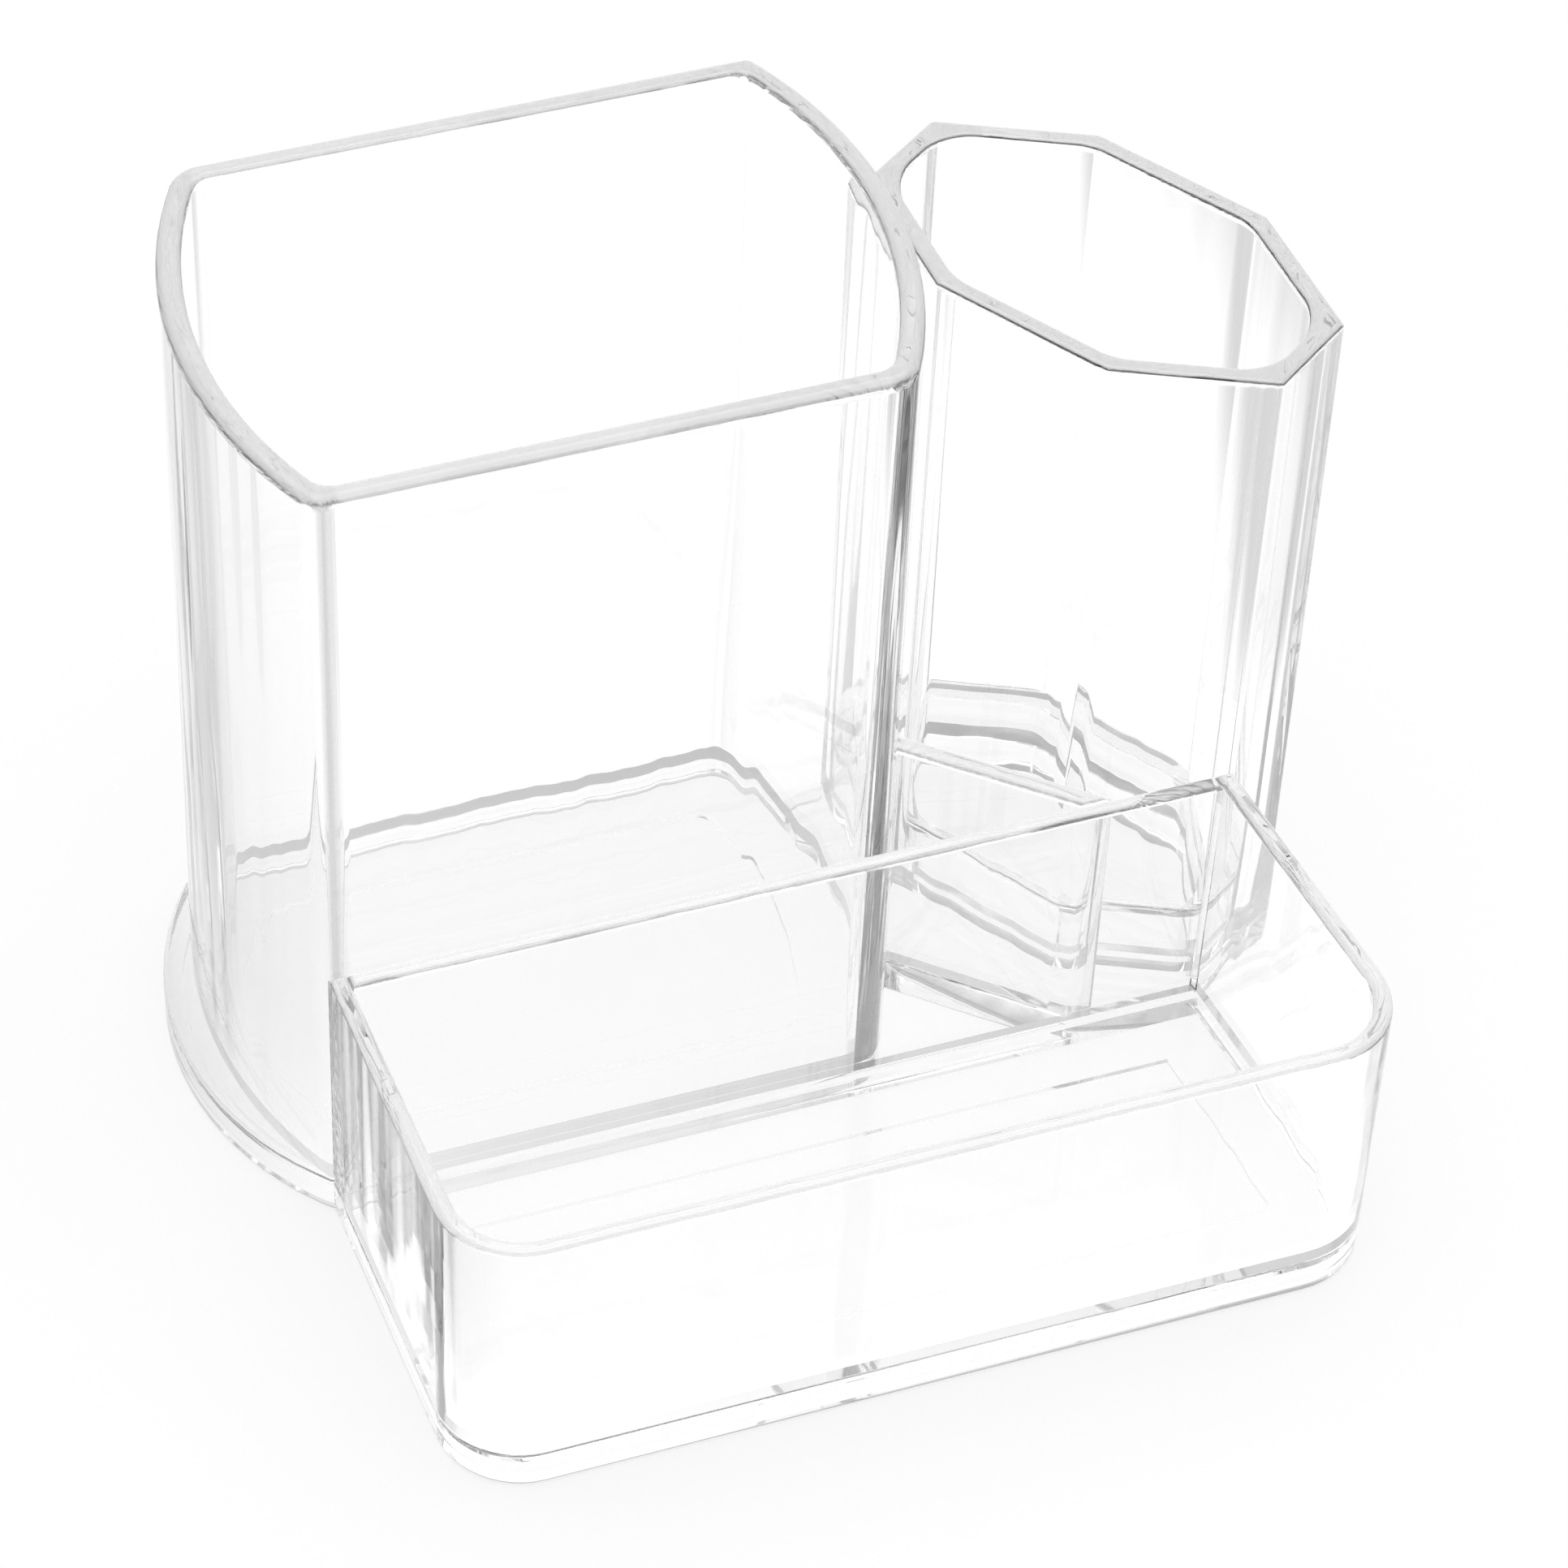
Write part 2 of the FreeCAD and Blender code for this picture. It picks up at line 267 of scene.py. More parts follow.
def clear_acrylic():
    """Clear acrylic, moulded and polished."""
    # Water clear. Moulding leaves faint upright streaks on the walls, which bend what is seen through them,
    # handling leaves dull patches, and a long way through a wall turns the light grey at rims and edges.
    name = "clear_polished_acrylic"
    if name in bpy.data.materials:
        return bpy.data.materials[name]
    finish = bpy.context.scene.holder_finish
    material = bpy.data.materials.new(name)
    material.use_nodes = True
    tree = material.node_tree
    shader = tree.nodes["Principled BSDF"]
    shader.inputs["Base Color"].default_value = linear(finish.tint)
    shader.inputs["IOR"].default_value = finish.ior
    shader.inputs["Transmission Weight"].default_value = 1.0
    place = add_node(tree, "ShaderNodeTexCoord")
    upright = add_node(tree, "ShaderNodeMapping", [("Vector", place.outputs["Object"])],
                       vector_type="TEXTURE", _Scale=(1, 1, finish.streak))
    waves = add_node(tree, "ShaderNodeTexNoise", [("Vector", upright.outputs["Vector"])],
                     _Scale=1 / finish.ripple, _Detail=1.0, _Roughness=0.4)
    height = add_node(tree, "ShaderNodeSeparateXYZ", [("Vector", place.outputs["Object"])])
    plate = bpy.context.scene.holder_plate
    above = add_node(tree, "ShaderNodeMapRange", [("Value", height.outputs["Z"])], _From_Min=plate.thickness,
                     _From_Max=2 * plate.thickness, _To_Min=0.0, _To_Max=finish.wave)
    bump = add_node(tree, "ShaderNodeBump", _Distance=finish.wave_height,
                    links=[("Height", waves.outputs["Fac"]), ("Strength", above.outputs["Result"])])
    haze = add_node(tree, "ShaderNodeTexNoise", [("Vector", place.outputs["Object"])],
                    _Scale=1 / finish.patch, _Detail=3.0, _Roughness=0.55)
    dull = add_node(tree, "ShaderNodeMapRange", [("Value", haze.outputs["Fac"])],
                    _From_Min=finish.patch_start, _From_Max=finish.patch_full,
                    _To_Min=finish.polish, _To_Max=finish.scuff)
    tree.links.new(bump.outputs["Normal"], shader.inputs["Normal"])
    tree.links.new(dull.outputs["Result"], shader.inputs["Roughness"])
    depth = add_node(tree, "ShaderNodeVolumeAbsorption", _Color=(0, 0, 0, 1), _Density=finish.depth_loss)
    tree.links.new(depth.outputs["Volume"], tree.nodes["Material Output"].inputs["Volume"])
    return material


def finished_piece(bm, name, *nodes):
    """Turns a bmesh into a clear piece that stands for CAD nodes."""
    mesh = bpy.data.meshes.new(name)
    bmesh.ops.recalc_face_normals(bm, faces=bm.faces)
    bm.to_mesh(mesh)
    bm.free()
    mesh.shade_smooth()
    mesh.set_sharp_from_angle(angle=CRISP_ANGLE)
    piece = bpy.data.objects.new(name, mesh)
    bpy.context.scene.collection.objects.link(piece)
    mesh.materials.append(clear_acrylic())
    even = piece.modifiers.new("even_shading", "WEIGHTED_NORMAL")
    even.keep_sharp = True
    even.weight = 100
    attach(piece, "root")
    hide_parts(*nodes)
    return piece


def outline(bm, points):
    """Flat face through plan points at the height of the table."""
    corner = corner_of_cup()
    verts = [bm.verts.new(Vector((x, y, 0)) + corner) for x, y in points]
    face = bm.faces.new(verts)
    face.normal_update()
    return face


def soften(bm, vert, radius, segments=CORNER_STEPS):
    """Rounds one corner of a flat outline."""
    one, two = [(edge.other_vert(vert).co - vert.co).normalized() for edge in vert.link_edges]
    reach = radius / math.tan(one.angle(two) / 2)
    bm.normal_update()
    bmesh.ops.bevel(bm, geom=[vert], offset=reach, offset_type="OFFSET", affect="VERTICES",
                    segments=segments, profile=0.5, material=-1, clamp_overlap=False)


def nearest(bm, point):
    """Vertex nearest to a plan point."""
    place = Vector((point[0], point[1], 0)) + corner_of_cup()
    return min(bm.verts, key=lambda vert: (vert.co - place).length)


def merged(bm, other):
    """Adds a second bmesh to the first and gives back the edges that came with it."""
    before = set(bm.edges)
    carrier = bpy.data.meshes.new("carrier")
    other.to_mesh(carrier)
    other.free()
    bm.from_mesh(carrier)
    bpy.data.meshes.remove(carrier)
    return [edge for edge in bm.edges if edge not in before]


def bowed_outline(width, depth, left, right, inset, radii):
    """Straight front and back with a bowed end on each side; radii from the left front, clockwise."""
    bm = bmesh.new()
    corner = corner_of_cup()
    ends = []
    for bow, side in ((left, -1), (right, 1)):
        radius = (depth * depth / 4 + bow * bow) / (2 * bow)
        middle = Vector(((bow - radius) * side + (width if side > 0 else 0), depth / 2, 0))
        half = math.asin((depth / 2 - inset) / (radius - inset))
        begin = middle + Vector((side * math.cos(half), side * math.sin(half), 0)) * (radius - inset)
        vert = bm.verts.new(begin + corner)
        spun = bmesh.ops.spin(bm, geom=[vert], cent=middle + corner, axis=(0, 0, 1), dvec=(0, 0, 0),
                              angle=-2 * half, steps=BOW_STEPS, use_merge=False, use_duplicate=False)
        last = [item for item in spun["geom_last"] if isinstance(item, bmesh.types.BMVert)][0]
        ends.append((vert, last))
    bm.edges.new((ends[0][1], ends[1][0]))
    bm.edges.new((ends[1][1], ends[0][0]))
    bmesh.ops.contextual_create(bm, geom=bm.edges)
    for vert, radius in zip((ends[0][0], ends[0][1], ends[1][0], ends[1][1]), radii):
        soften(bm, vert, radius)
    return bm


def octagon_corners():
    """Corners of the eight-sided cup, starting at the back left."""
    cup, octagon = bpy.context.scene.holder_cup, bpy.context.scene.holder_octagon
    tip, flank = octagon.along / 2, octagon.across / 2
    end, side = octagon.end_facet / 2, octagon.side_facet / 2
    quarter = [(-tip, end), (-side, flank), (side, flank), (tip, end)]
    turned = Matrix.Rotation(octagon.turn, 3, "Z")
    middle = Vector((cup.width + octagon.past_cup, octagon.behind_tray, 0))
    return [(middle + turned @ Vector((u, v, 0)))[:2] for u, v in quarter + [(-u, -v) for u, v in quarter]]


def octagon_outline(inset, radius, extra=0.0):
    """Eight-sided outline moved inwards, with rounded corners, and then moved in a little more."""
    bm = bmesh.new()
    face = outline(bm, octagon_corners())
    shrink(bm, face, inset)
    for vert in list(bm.verts):
        soften(bm, vert, radius)
    shrink(bm, bm.faces[:][0], extra)
    return bm


def shrink(bm, face, inset):
    """Moves a flat outline inwards and drops the margin."""
    if inset <= 0:
        return
    bm.normal_update()
    margin = bmesh.ops.inset_region(bm, faces=[face], thickness=inset, use_boundary=True,
                                    use_even_offset=True)["faces"]
    bmesh.ops.delete(bm, geom=margin, context="FACES")


def raised(bm, edges, low, high):
    """Extrudes a closed loop of edges into an upright wall; gives back its lower and upper loops."""
    lower = list({vert for edge in edges for vert in edge.verts})
    bmesh.ops.translate(bm, vec=(0, 0, low), verts=lower)
    made = bmesh.ops.extrude_edge_only(bm, edges=edges)["geom"]
    upper = [item for item in made if isinstance(item, bmesh.types.BMVert)]
    bmesh.ops.translate(bm, vec=(0, 0, high - low), verts=upper)
    tops = set(upper)
    ring = [item for item in made if isinstance(item, bmesh.types.BMEdge) and set(item.verts) <= tops]
    return edges, ring


def leaning(bm, lower, upper, low, high):
    """Joins two closed loops of edges, set at two heights, by a wall that leans a little."""
    for loop, height in ((lower, low), (upper, high)):
        verts = list({vert for edge in loop for vert in edge.verts})
        bmesh.ops.translate(bm, vec=(0, 0, height), verts=verts)
    bmesh.ops.bridge_loops(bm, edges=lower + upper)
    return lower, upper


def loop_of(bm, other):
    """Brings a flat outline in as a bare loop of edges."""
    bmesh.ops.delete(other, geom=other.faces[:], context="FACES_ONLY")
    return merged(bm, other)


def ring_between(bm, one, two):
    """Flat ring between two level loops; the second is lifted while they are joined, to match their turns."""
    lifted = list({vert for edge in two for vert in edge.verts})
    lift = Vector((0, 0, 0.5))
    bmesh.ops.translate(bm, vec=lift, verts=lifted)
    bmesh.ops.bridge_loops(bm, edges=one + two)
    bmesh.ops.translate(bm, vec=-lift, verts=lifted)


def rounded(bm, edges, radius, segments=RIM_STEPS):
    """Rounds edges of a piece."""
    bm.normal_update()
    bmesh.ops.bevel(bm, geom=edges, offset=radius, offset_type="OFFSET", affect="EDGES",
                    segments=segments, profile=0.5, material=-1, clamp_overlap=False)


def sleeve(outer, inner, low, high, rim_outer, rim_inner, inner_foot=None, ledge=None, ledge_top=0.0):
    """Upright wall between two outlines, open above and below, with a rounded rim."""
    bm = bmesh.new()
    base, rim = raised(bm, loop_of(bm, outer), low, high)
    if ledge is None:
        foot, mouth = leaning(bm, loop_of(bm, inner_foot), loop_of(bm, inner), low, high)
    else:
        foot, shelf = raised(bm, loop_of(bm, ledge), low, ledge_top)
        sill, mouth = raised(bm, loop_of(bm, inner), ledge_top, high)
        ring_between(bm, shelf, sill)
    ring_between(bm, base, foot)
    ring_between(bm, rim, mouth)
    bmesh.ops.recalc_face_normals(bm, faces=bm.faces)
    rounded(bm, rim, rim_outer, CUP_RIM_STEPS)
    rounded(bm, [edge for edge in mouth if edge.is_valid], rim_inner, CUP_MOUTH_STEPS)
    return bm


def slab(bm, low, high, upper=None):
    """Gives a flat outline its height, up to another outline if there is one; returns the top's edges."""
    face = bm.faces[:][0]
    if upper is None:
        bmesh.ops.translate(bm, vec=(0, 0, low), verts=bm.verts)
        made = bmesh.ops.extrude_face_region(bm, geom=[face])["geom"]
        top = [item for item in made if isinstance(item, bmesh.types.BMVert)]
        bmesh.ops.translate(bm, vec=(0, 0, high - low), verts=top)
    else:
        leaning(bm, face.edges[:], merged(bm, upper), low, high)
    bmesh.ops.recalc_face_normals(bm, faces=bm.faces)
    lid = max(bm.faces, key=lambda part: part.calc_center_median().z)
    return list(lid.edges)


def tray_corners(back):
    """Corners of the tray's outline, with the side lines carried on past the back."""
    cup, tray = bpy.context.scene.holder_cup, bpy.context.scene.holder_tray
    right = cup.width + tray.past_cup
    return [(-tray.left_spread / tray.depth * back, back), (tray.left_spread, -tray.depth),
            (right + tray.right_spread, -tray.depth), (right - tray.right_spread / tray.depth * back, back)]


def link_line(y):
    """Plan point on the open edge of the plate between the tray and the tall cup."""
    cup, tray = bpy.context.scene.holder_cup, bpy.context.scene.holder_tray
    slope = (tray.link_lean_in - tray.link_past_cup) / tray.link_reach
    return Vector((cup.width + tray.link_past_cup + slope * y, y, 0))


class HOLDER_OT_large_cup(bpy.types.Operator):
    """Build the tall cup with bowed ends"""

    bl_idname = "holder.large_cup"
    bl_label = "Tall Cup"

    def execute(self, context):
        cup, plate = context.scene.holder_cup, context.scene.holder_plate
        sizes = (cup.width, cup.depth, cup.bow, cup.bow)
        crisp, soft = cup.crisp_corner, cup.soft_corner
        outer = bowed_outline(*sizes, 0, (crisp, soft, crisp, soft))
        inner = bowed_outline(*sizes, cup.wall, (cup.inner_corner,) * 4)
        inner_foot = bowed_outline(*sizes, cup.wall + cup.draft, (cup.inner_corner,) * 4)
        bm = sleeve(outer, inner, plate.thickness + plate.seam, cup.height, cup.rim_outer, cup.rim_inner,
                    inner_foot)
        finished_piece(bm, "large_cup_clear", "large_cup")
        return {"FINISHED"}


class HOLDER_OT_octagonal_cup(bpy.types.Operator):
    """Build the eight-sided cup and its raised floor"""

    bl_idname = "holder.octagonal_cup"
    bl_label = "Eight-Sided Cup"

    def execute(self, context):
        octagon, plate = context.scene.holder_octagon, context.scene.holder_plate
        outer = octagon_outline(0, octagon.outer_corner)
        inner = octagon_outline(octagon.wall, octagon.inner_corner)
        shelf = octagon_outline(octagon.wall, octagon.inner_corner, octagon.ledge)
        floor_low = octagon.floor_top - octagon.floor_height
        bm = sleeve(outer, inner, plate.thickness + plate.seam, octagon.height, octagon.rim, octagon.rim,
                    ledge=shelf, ledge_top=floor_low)
        finished_piece(bm, "octagonal_cup_clear", "octagonal_cup")
        bm = octagon_outline(octagon.wall, octagon.inner_corner, plate.seam)
        top = slab(bm, floor_low + plate.seam, octagon.floor_top)
        rounded(bm, top, plate.edge, EDGE_STEPS)
        under = min(bm.faces, key=lambda face: face.calc_center_median().z)
        bmesh.ops.inset_region(bm, faces=[under], thickness=octagon.floor_skirt, use_boundary=True,
                               use_even_offset=True)
        made = bmesh.ops.extrude_discrete_faces(bm, faces=[under])["faces"]
        rise = octagon.floor_height - octagon.floor_sheet - plate.seam
        bmesh.ops.translate(bm, vec=(0, 0, rise), verts=made[0].verts)
        finished_piece(bm, "octagonal_cup_floor_clear", "octagonal_cup_floor")
        return {"FINISHED"}


class HOLDER_OT_tray(bpy.types.Operator):
    """Build the tray's bent wall, its straight back wall and the link wall"""

    bl_idname = "holder.tray"
    bl_label = "Low Tray"

    def execute(self, context):
        cup, tray, plate = context.scene.holder_cup, context.scene.holder_tray, context.scene.holder_plate
        low = plate.thickness + plate.seam
        corner = corner_of_cup()
        bm = self.bent_strip(tray.wall + tray.draft)
        top = slab(bm, low, tray.height, self.bent_strip(tray.wall))
        rounded(bm, top, tray.rim)
        finished_piece(bm, "tray_wall_clear", "tray_wall")

        bm = bmesh.new()
        face = outline(bm, tray_corners(3 * tray.wall))
        shrink(bm, face, tray.wall + plate.seam)
        for depth, away in ((-plate.seam, (0, 1, 0)), (-tray.wall, (0, -1, 0))):
            bmesh.ops.bisect_plane(bm, geom=bm.verts[:] + bm.edges[:] + bm.faces[:],
                                   plane_co=corner + Vector((0, depth, 0)), plane_no=away, clear_outer=True)
        top = slab(bm, low, tray.height)
        rounded(bm, top, tray.rim)
        finished_piece(bm, "tray_back_wall_clear", "tray_back_wall")

        start, end = link_line(-tray.link_reach), link_line(tray.link_reach)
        side = (end - start).cross(Vector((0, 0, 1))).normalized() * tray.link_wall
        bm = bmesh.new()
        outline(bm, [spot[:2] for spot in (start, end, end + side, start + side)])
        bmesh.ops.bisect_plane(bm, geom=bm.verts[:] + bm.edges[:] + bm.faces[:], plane_co=corner,
                               plane_no=(0, -1, 0), clear_outer=True)
        radius = (cup.depth ** 2 / 4 + cup.bow ** 2) / (2 * cup.bow)
        middle = Vector((cup.width + cup.bow - radius, cup.depth / 2, 0))
        meeting = link_line(tray.link_reach * tray.link_meets)
        spot = middle + (meeting - middle).normalized() * (radius + plate.seam)
        bmesh.ops.bisect_plane(bm, geom=bm.verts[:] + bm.edges[:] + bm.faces[:], plane_co=corner + spot,
                               plane_no=middle - spot, clear_outer=True)
        top = slab(bm, low, tray.height)
        rounded(bm, top, tray.rim)
        ends = [edge for edge in bm.edges if edge.calc_face_angle(0) > CRISP_ANGLE
                and abs(edge.verts[0].co.z - edge.verts[1].co.z) > tray.height / 2]
        rounded(bm, ends, tray.rim)
        finished_piece(bm, "link_wall_clear", "link_wall")
        return {"FINISHED"}

    def bent_strip(self, wall):
        """Plan of the tray's bent wall, open at the back."""
        tray = bpy.context.scene.holder_tray
        bm = bmesh.new()
        face = outline(bm, tray_corners(3 * tray.wall))
        margin = bmesh.ops.inset_region(bm, faces=[face], thickness=wall, use_boundary=True,
                                        use_even_offset=True)["faces"]
        back = max(margin, key=lambda part: part.calc_center_median().y)
        bmesh.ops.delete(bm, geom=[face, back], context="FACES")
        bmesh.ops.bisect_plane(bm, geom=bm.verts[:] + bm.edges[:] + bm.faces[:], plane_co=corner_of_cup(),
                               plane_no=(0, 1, 0), clear_outer=True)
        inside = [edge for edge in bm.edges if len(edge.link_faces) == 2]
        bmesh.ops.dissolve_edges(bm, edges=inside)
        for x, y in tray_corners(0)[1:3]:
            outside = nearest(bm, (x, y))
            within = min((vert for vert in bm.verts if vert is not outside),
                         key=lambda vert: (vert.co - outside.co).length)
            soften(bm, outside, tray.corner, TRAY_CORNER_STEPS)
            soften(bm, within, tray.corner - wall, TRAY_CORNER_STEPS)
        return bm


class HOLDER_OT_base_plate(bpy.types.Operator):
    """Build the base plate with its arched foot, web and recesses"""

    bl_idname = "holder.base_plate"
    bl_label = "Base Plate"

    def execute(self, context):
        cup, octagon = context.scene.holder_cup, context.scene.holder_octagon
        tray, plate = context.scene.holder_tray, context.scene.holder_plate
        crisp, soft = cup.crisp_corner, cup.soft_corner
        corners = octagon_corners()

        foot = bowed_outline(cup.width, cup.depth, plate.foot_bow, cup.bow, 0, (crisp, soft, crisp, soft))
        stand = octagon_outline(0, octagon.outer_corner)
        web = bmesh.new()
        middle = (cup.width + octagon.past_cup, octagon.behind_tray)
        inside_back = Vector(corners[7]).lerp(Vector(middle), octagon.wall / octagon.along)
        outline(web, [link_line(tray.link_reach)[:2], link_line(-OVERLAP)[:2],
                      (corners[4][0] - OVERLAP, -OVERLAP), middle, inside_back,
                      (cup.width + tray.link_lean_in, cup.depth - plate.back_step)])
        well = octagon_outline(octagon.wall, octagon.inner_corner, octagon.ledge)
        under = []
        for inset in (plate.skirt, plate.panel_inset):
            under_cup = bowed_outline(cup.width, cup.depth, plate.foot_bow, cup.bow, inset,
                                      (cup.inner_corner,) * 4)
            under.append([under_cup, self.tray_bed(inset)])

        bm = self.plan([foot, stand, web, self.tray_bed(0)], [well], *under)
        made = bmesh.ops.extrude_face_region(bm, geom=bm.faces[:])["geom"]
        top = [item for item in made if isinstance(item, bmesh.types.BMVert)]
        bmesh.ops.translate(bm, vec=(0, 0, plate.thickness), verts=top)
        bmesh.ops.recalc_face_normals(bm, faces=bm.faces)
        rims = [edge for edge in bm.edges if abs(edge.calc_face_angle(0)) > RIM_ANGLE
                and abs(edge.verts[0].co.z - edge.verts[1].co.z) < SAME_LEVEL]
        rounded(bm, rims, plate.edge, EDGE_STEPS)
        level = bm.faces.layers.int["level"]
        for mark, rise in ((1, plate.hollow_depth), (2, plate.panel_depth - plate.hollow_depth)):
            below = [face for face in bm.faces if face[level] >= mark and face.normal.z < UNDERSIDE]
            made = bmesh.ops.extrude_face_region(bm, geom=below)["geom"]
            lifted = [item for item in made if isinstance(item, bmesh.types.BMVert)]
            bmesh.ops.translate(bm, vec=(0, 0, rise), verts=lifted)
            bmesh.ops.delete(bm, geom=below, context="FACES")
            bm.normal_update()
        finished_piece(bm, "base_plate_clear", "base_plate")
        return {"FINISHED"}

    def plan(self, parts, wells, hollows, panels):
        """Flat plan of the plate, with a level of 0 on its skirt, 1 over a hollow and 2 in a panel."""
        points, loops = [], []
        for part in parts + wells + hollows + panels:
            face = part.faces[:][0]
            face.normal_update()
            if face.normal.z < 0:
                face.normal_flip()
            loops.append(list(range(len(points), len(points) + len(face.verts))))
            points += [vert.co.xy for vert in face.verts]
            part.free()
        first_well = len(parts)
        first_hollow = first_well + len(wells)
        first_panel = first_hollow + len(hollows)
        spots, _, cells, _, _, owners = delaunay_2d_cdt(points, [], loops, VALID_FACES, SAME_POINT)
        bm = bmesh.new()
        level = bm.faces.layers.int.new("level")
        verts = [bm.verts.new((*spot, 0)) for spot in spots]
        for cell, owner in zip(cells, owners):
            in_well = any(first_well <= one < first_hollow for one in owner)
            if not owner or in_well or min(owner) >= first_well:
                continue
            face = bm.faces.new([verts[index] for index in cell])
            face[level] = (max(owner) >= first_hollow) + (max(owner) >= first_panel)
        loose = [vert for vert in bm.verts if not vert.link_faces]
        bmesh.ops.delete(bm, geom=loose, context="VERTS")
        bm.normal_update()
        return bm

    def tray_bed(self, inset):
        """Outline of the plate under the tray."""
        tray, plate = bpy.context.scene.holder_tray, bpy.context.scene.holder_plate
        bm = bmesh.new()
        face = outline(bm, tray_corners(0))
        shrink(bm, face, inset)
        front = sorted(bm.verts, key=lambda vert: vert.co.y)[:2]
        for vert in front:
            soften(bm, vert, max(tray.corner - inset, plate.panel_corner), TRAY_CORNER_STEPS)
        return bm


class HOLDER_OT_stage(bpy.types.Operator):
    """Set up the floor, the light and the camera"""

    bl_idname = "holder.stage"
    bl_label = "Stage"

    def execute(self, context):
        stage = context.scene.holder_stage
        self.floor(context, stage)
        self.light(context, stage)
        self.camera(context, stage)
        scene = context.scene
        scene.view_settings.view_transform = "Standard"
        for bounces in ("max_bounces", "transmission_bounces", "glossy_bounces"):
            setattr(scene.cycles, bounces, LIGHT_BOUNCES)
        return {"FINISHED"}

    def floor(self, context, stage):
        """Matt white table, wide enough for every view, with a painted pool of light: seen in and through the
        plastic it glows brightest around the object and is painted dimmer further out.
        """
        bm = bmesh.new()
        bmesh.ops.create_circle(bm, cap_ends=True, segments=TABLE_STEPS, radius=stage.floor_reach)
        bmesh.ops.translate(bm, vec=(0, 0, -stage.floor_drop), verts=bm.verts)
        mesh = bpy.data.meshes.new("table")
        bm.to_mesh(mesh)
        bm.free()
        table = bpy.data.objects.new("table", mesh)
        context.scene.collection.objects.link(table)
        material = bpy.data.materials.new("matt_white_table")
        material.use_nodes = True
        tree = material.node_tree
        tree.nodes.clear()
        path = add_node(tree, "ShaderNodeLightPath")
        place = add_node(tree, "ShaderNodeTexCoord")
        # Painted pool of light: for rays bent in or through the plastic, the table glows brightest over a
        # patch around the object and is painted dimmer further out.
        pool = add_node(tree, "ShaderNodeMapping", [("Vector", place.outputs["Object"])],
                        vector_type="TEXTURE", _Location=stage.painted_pool_middle, _Scale=stage.pool_size)
        sides = add_node(tree, "ShaderNodeVectorMath", [(0, pool.outputs["Vector"])], operation="ABSOLUTE")
        parts = add_node(tree, "ShaderNodeSeparateXYZ", [("Vector", sides.outputs["Vector"])])
        away = add_node(tree, "ShaderNodeMath", [(0, parts.outputs["X"]), (1, parts.outputs["Y"])],
                        operation="MAXIMUM")
        fade = add_node(tree, "ShaderNodeMapRange", [("Value", away.outputs[0])],
                        interpolation_type="SMOOTHSTEP", _From_Min=1.0, _From_Max=stage.painted_pool_fade,
                        _To_Min=stage.painted_pool_glow, _To_Max=stage.painted_pool_edge)
        bent = add_node(tree, "ShaderNodeMath", operation="MAXIMUM",
                        links=[(0, path.outputs["Is Glossy Ray"]), (1, path.outputs["Is Transmission Ray"])])
        through = add_node(tree, "ShaderNodeMath", [(0, bent.outputs[0]), (1, fade.outputs["Result"])],
                           operation="MULTIPLY")
        direct = add_node(tree, "ShaderNodeMath", [(0, path.outputs["Is Camera Ray"])], operation="MULTIPLY")
        direct.inputs[1].default_value = stage.floor_glow
        lift = add_node(tree, "ShaderNodeMath", [(0, direct.outputs[0]), (1, through.outputs[0])],
                        operation="MAXIMUM")
        shade = [part * stage.floor_matt for part in linear(stage.floor_colour)[:3]]
        matt = add_node(tree, "ShaderNodeBsdfDiffuse", _Color=(*shade, 1))
        glow = add_node(tree, "ShaderNodeEmission", [("Strength", lift.outputs[0])],
                        _Color=linear(stage.floor_colour))
        both = add_node(tree, "ShaderNodeAddShader", [(0, matt.outputs[0]), (1, glow.outputs[0])])
        add_node(tree, "ShaderNodeOutputMaterial", [("Surface", both.outputs[0])])
        mesh.materials.append(material)

    def light(self, context, stage):
        """Large white light overhead in a pale grey room."""
        world = bpy.data.worlds.new("studio")
        context.scene.world = world
        world.use_nodes = True
        tree = world.node_tree
        tree.nodes.clear()
        way = add_node(tree, "ShaderNodeTexCoord")
        parts = add_node(tree, "ShaderNodeSeparateXYZ", [("Vector", way.outputs["Generated"])])
        level = add_node(tree, "ShaderNodeMapRange", [("Value", parts.outputs["Z"])],
                         interpolation_type="SMOOTHSTEP", _From_Min=stage.softbox_low,
                         _From_Max=stage.softbox_high, _To_Min=stage.room_level, _To_Max=stage.softbox_level)
        path = add_node(tree, "ShaderNodeLightPath")
        seen = add_node(tree, "ShaderNodeMath", operation="MAXIMUM",
                        links=[(0, path.outputs["Is Camera Ray"]), (1, level.outputs["Result"])])
        sky = add_node(tree, "ShaderNodeBackground", [("Strength", seen.outputs[0])], _Color=(1, 1, 1, 1))
        add_node(tree, "ShaderNodeOutputWorld", [("Surface", sky.outputs[0])])

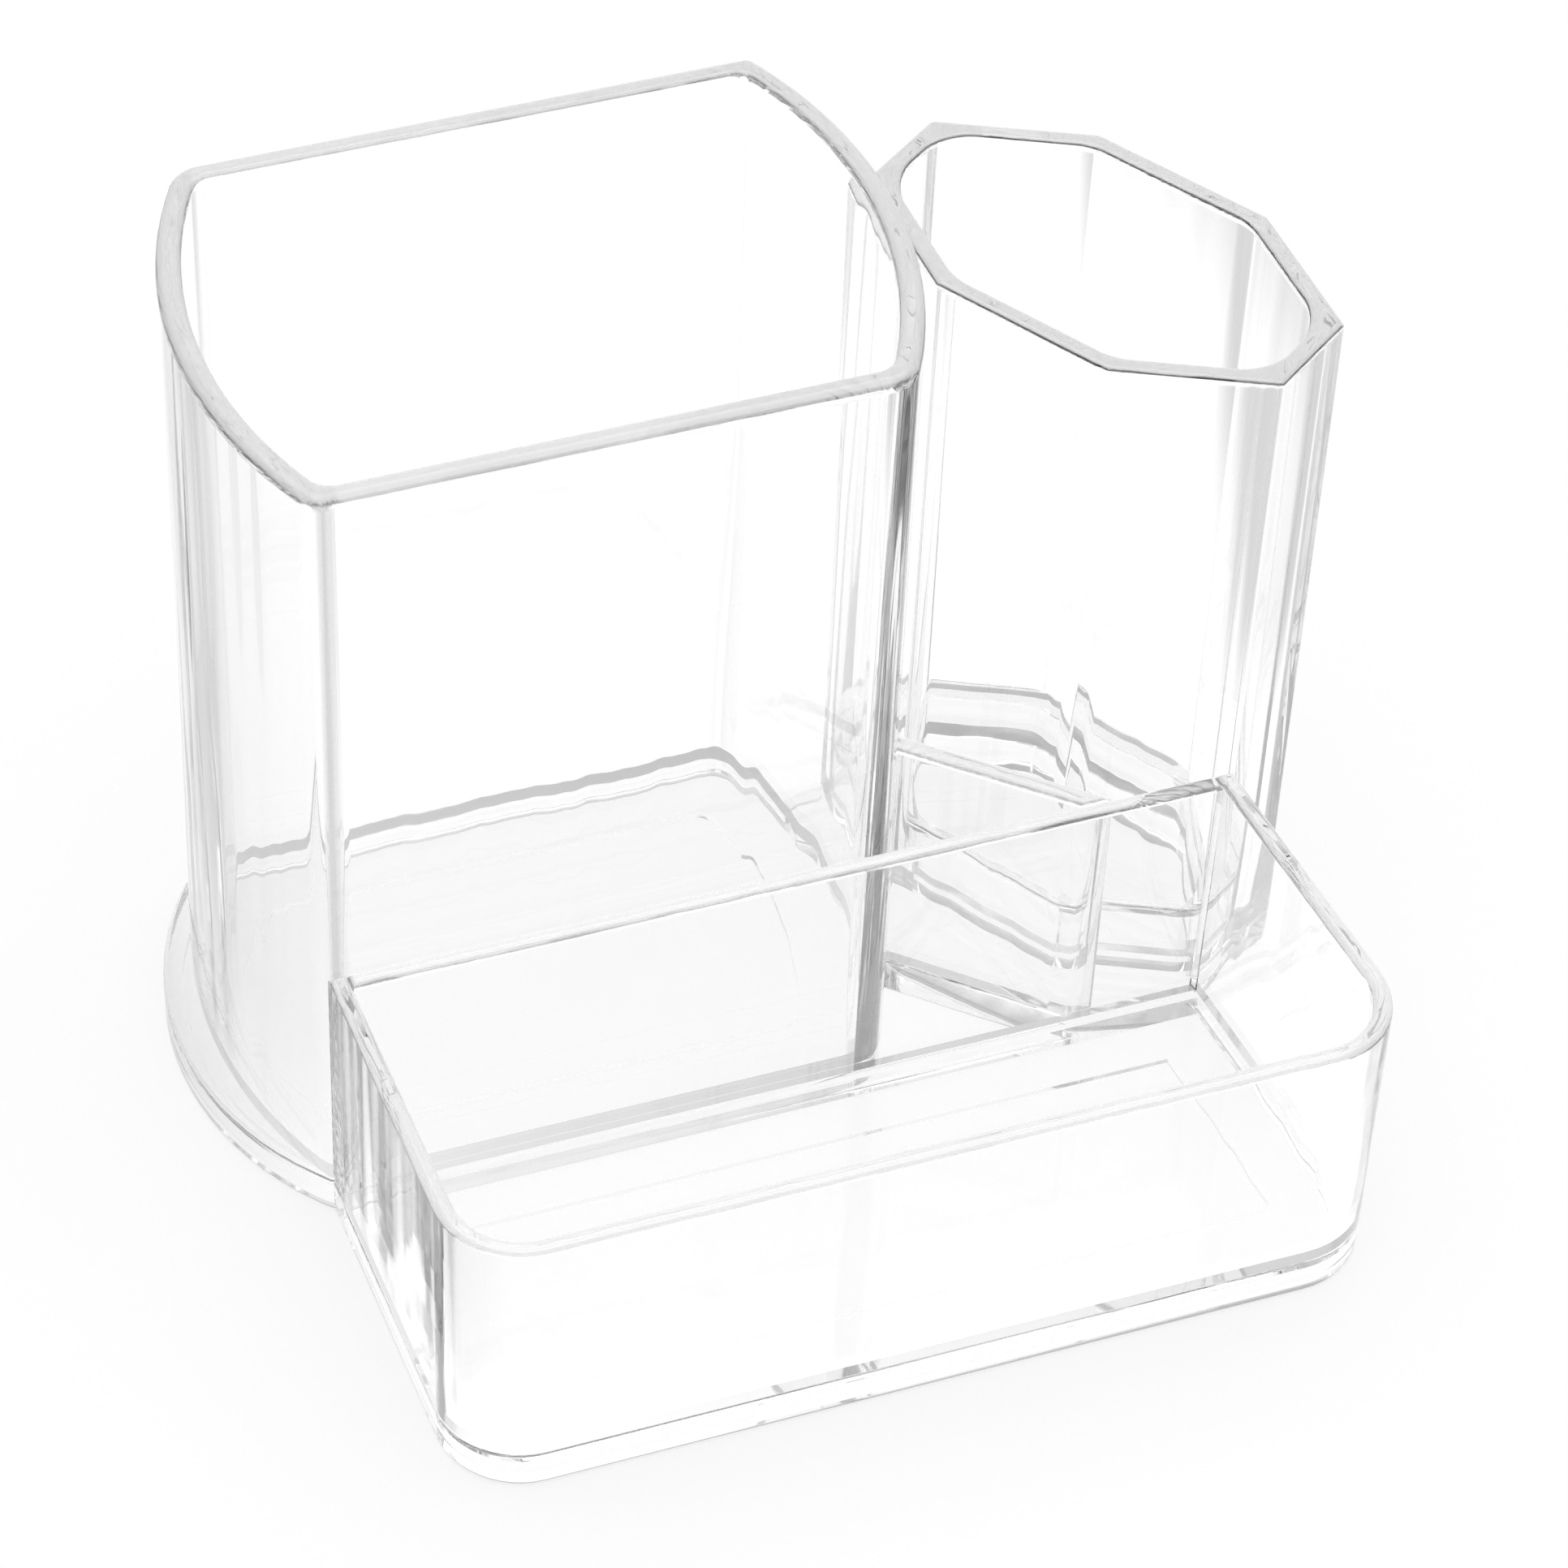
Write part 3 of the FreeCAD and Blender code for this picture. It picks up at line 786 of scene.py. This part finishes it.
    def camera(self, context, stage):
        """Camera at the photograph's angle."""
        lens = bpy.data.cameras.new("camera")
        lens.sensor_width = SENSOR_WIDTH
        lens.lens = stage.lens
        lens.clip_start = NEAR_CLIP
        camera = bpy.data.objects.new("camera", lens)
        context.scene.collection.objects.link(camera)
        turn = Matrix.Rotation(stage.azimuth, 4, "Z")
        tilt = Matrix.Rotation(math.pi / 2 - stage.elevation, 4, "X")
        roll = Matrix.Rotation(stage.roll, 4, "Z")
        camera.matrix_world = Matrix.Translation(stage.place) @ turn @ tilt @ roll
        context.scene.camera = camera


class HOLDER_PT_panel(bpy.types.Panel):
    """Lists the sizes and the steps of the brush holder"""

    bl_idname = "HOLDER_PT_panel"
    bl_label = "Brush Holder"
    bl_space_type = "VIEW_3D"
    bl_region_type = "UI"
    bl_category = "Brush Holder"

    def draw(self, context):
        for group in GROUPS:
            box = self.layout.box()
            holder = getattr(context.scene, group)
            for name in holder.bl_rna.properties.keys():
                if name not in {"rna_type", "name"}:
                    box.prop(holder, name)
        for step in STEPS:
            self.layout.operator(step)


GROUPS = {
    "holder_cup": HolderCup,
    "holder_octagon": HolderOctagon,
    "holder_tray": HolderTray,
    "holder_plate": HolderPlate,
    "holder_finish": HolderFinish,
    "holder_stage": HolderStage,
}
STEPS = ("holder.base_plate", "holder.large_cup", "holder.octagonal_cup", "holder.tray", "holder.stage")
CLASSES = (*GROUPS.values(), HOLDER_OT_base_plate, HOLDER_OT_large_cup, HOLDER_OT_octagonal_cup,
           HOLDER_OT_tray, HOLDER_OT_stage, HOLDER_PT_panel)


def register():
    for part in CLASSES:
        bpy.utils.register_class(part)
    for name, group in GROUPS.items():
        setattr(bpy.types.Scene, name, bpy.props.PointerProperty(type=group))


def unregister():
    for name in GROUPS:
        delattr(bpy.types.Scene, name)
    for part in reversed(CLASSES):
        bpy.utils.unregister_class(part)


def main():
    register()
    bpy.ops.holder.base_plate()
    bpy.ops.holder.large_cup()
    bpy.ops.holder.octagonal_cup()
    bpy.ops.holder.tray()
    bpy.ops.holder.stage()


if __name__ == "__main__":
    main()
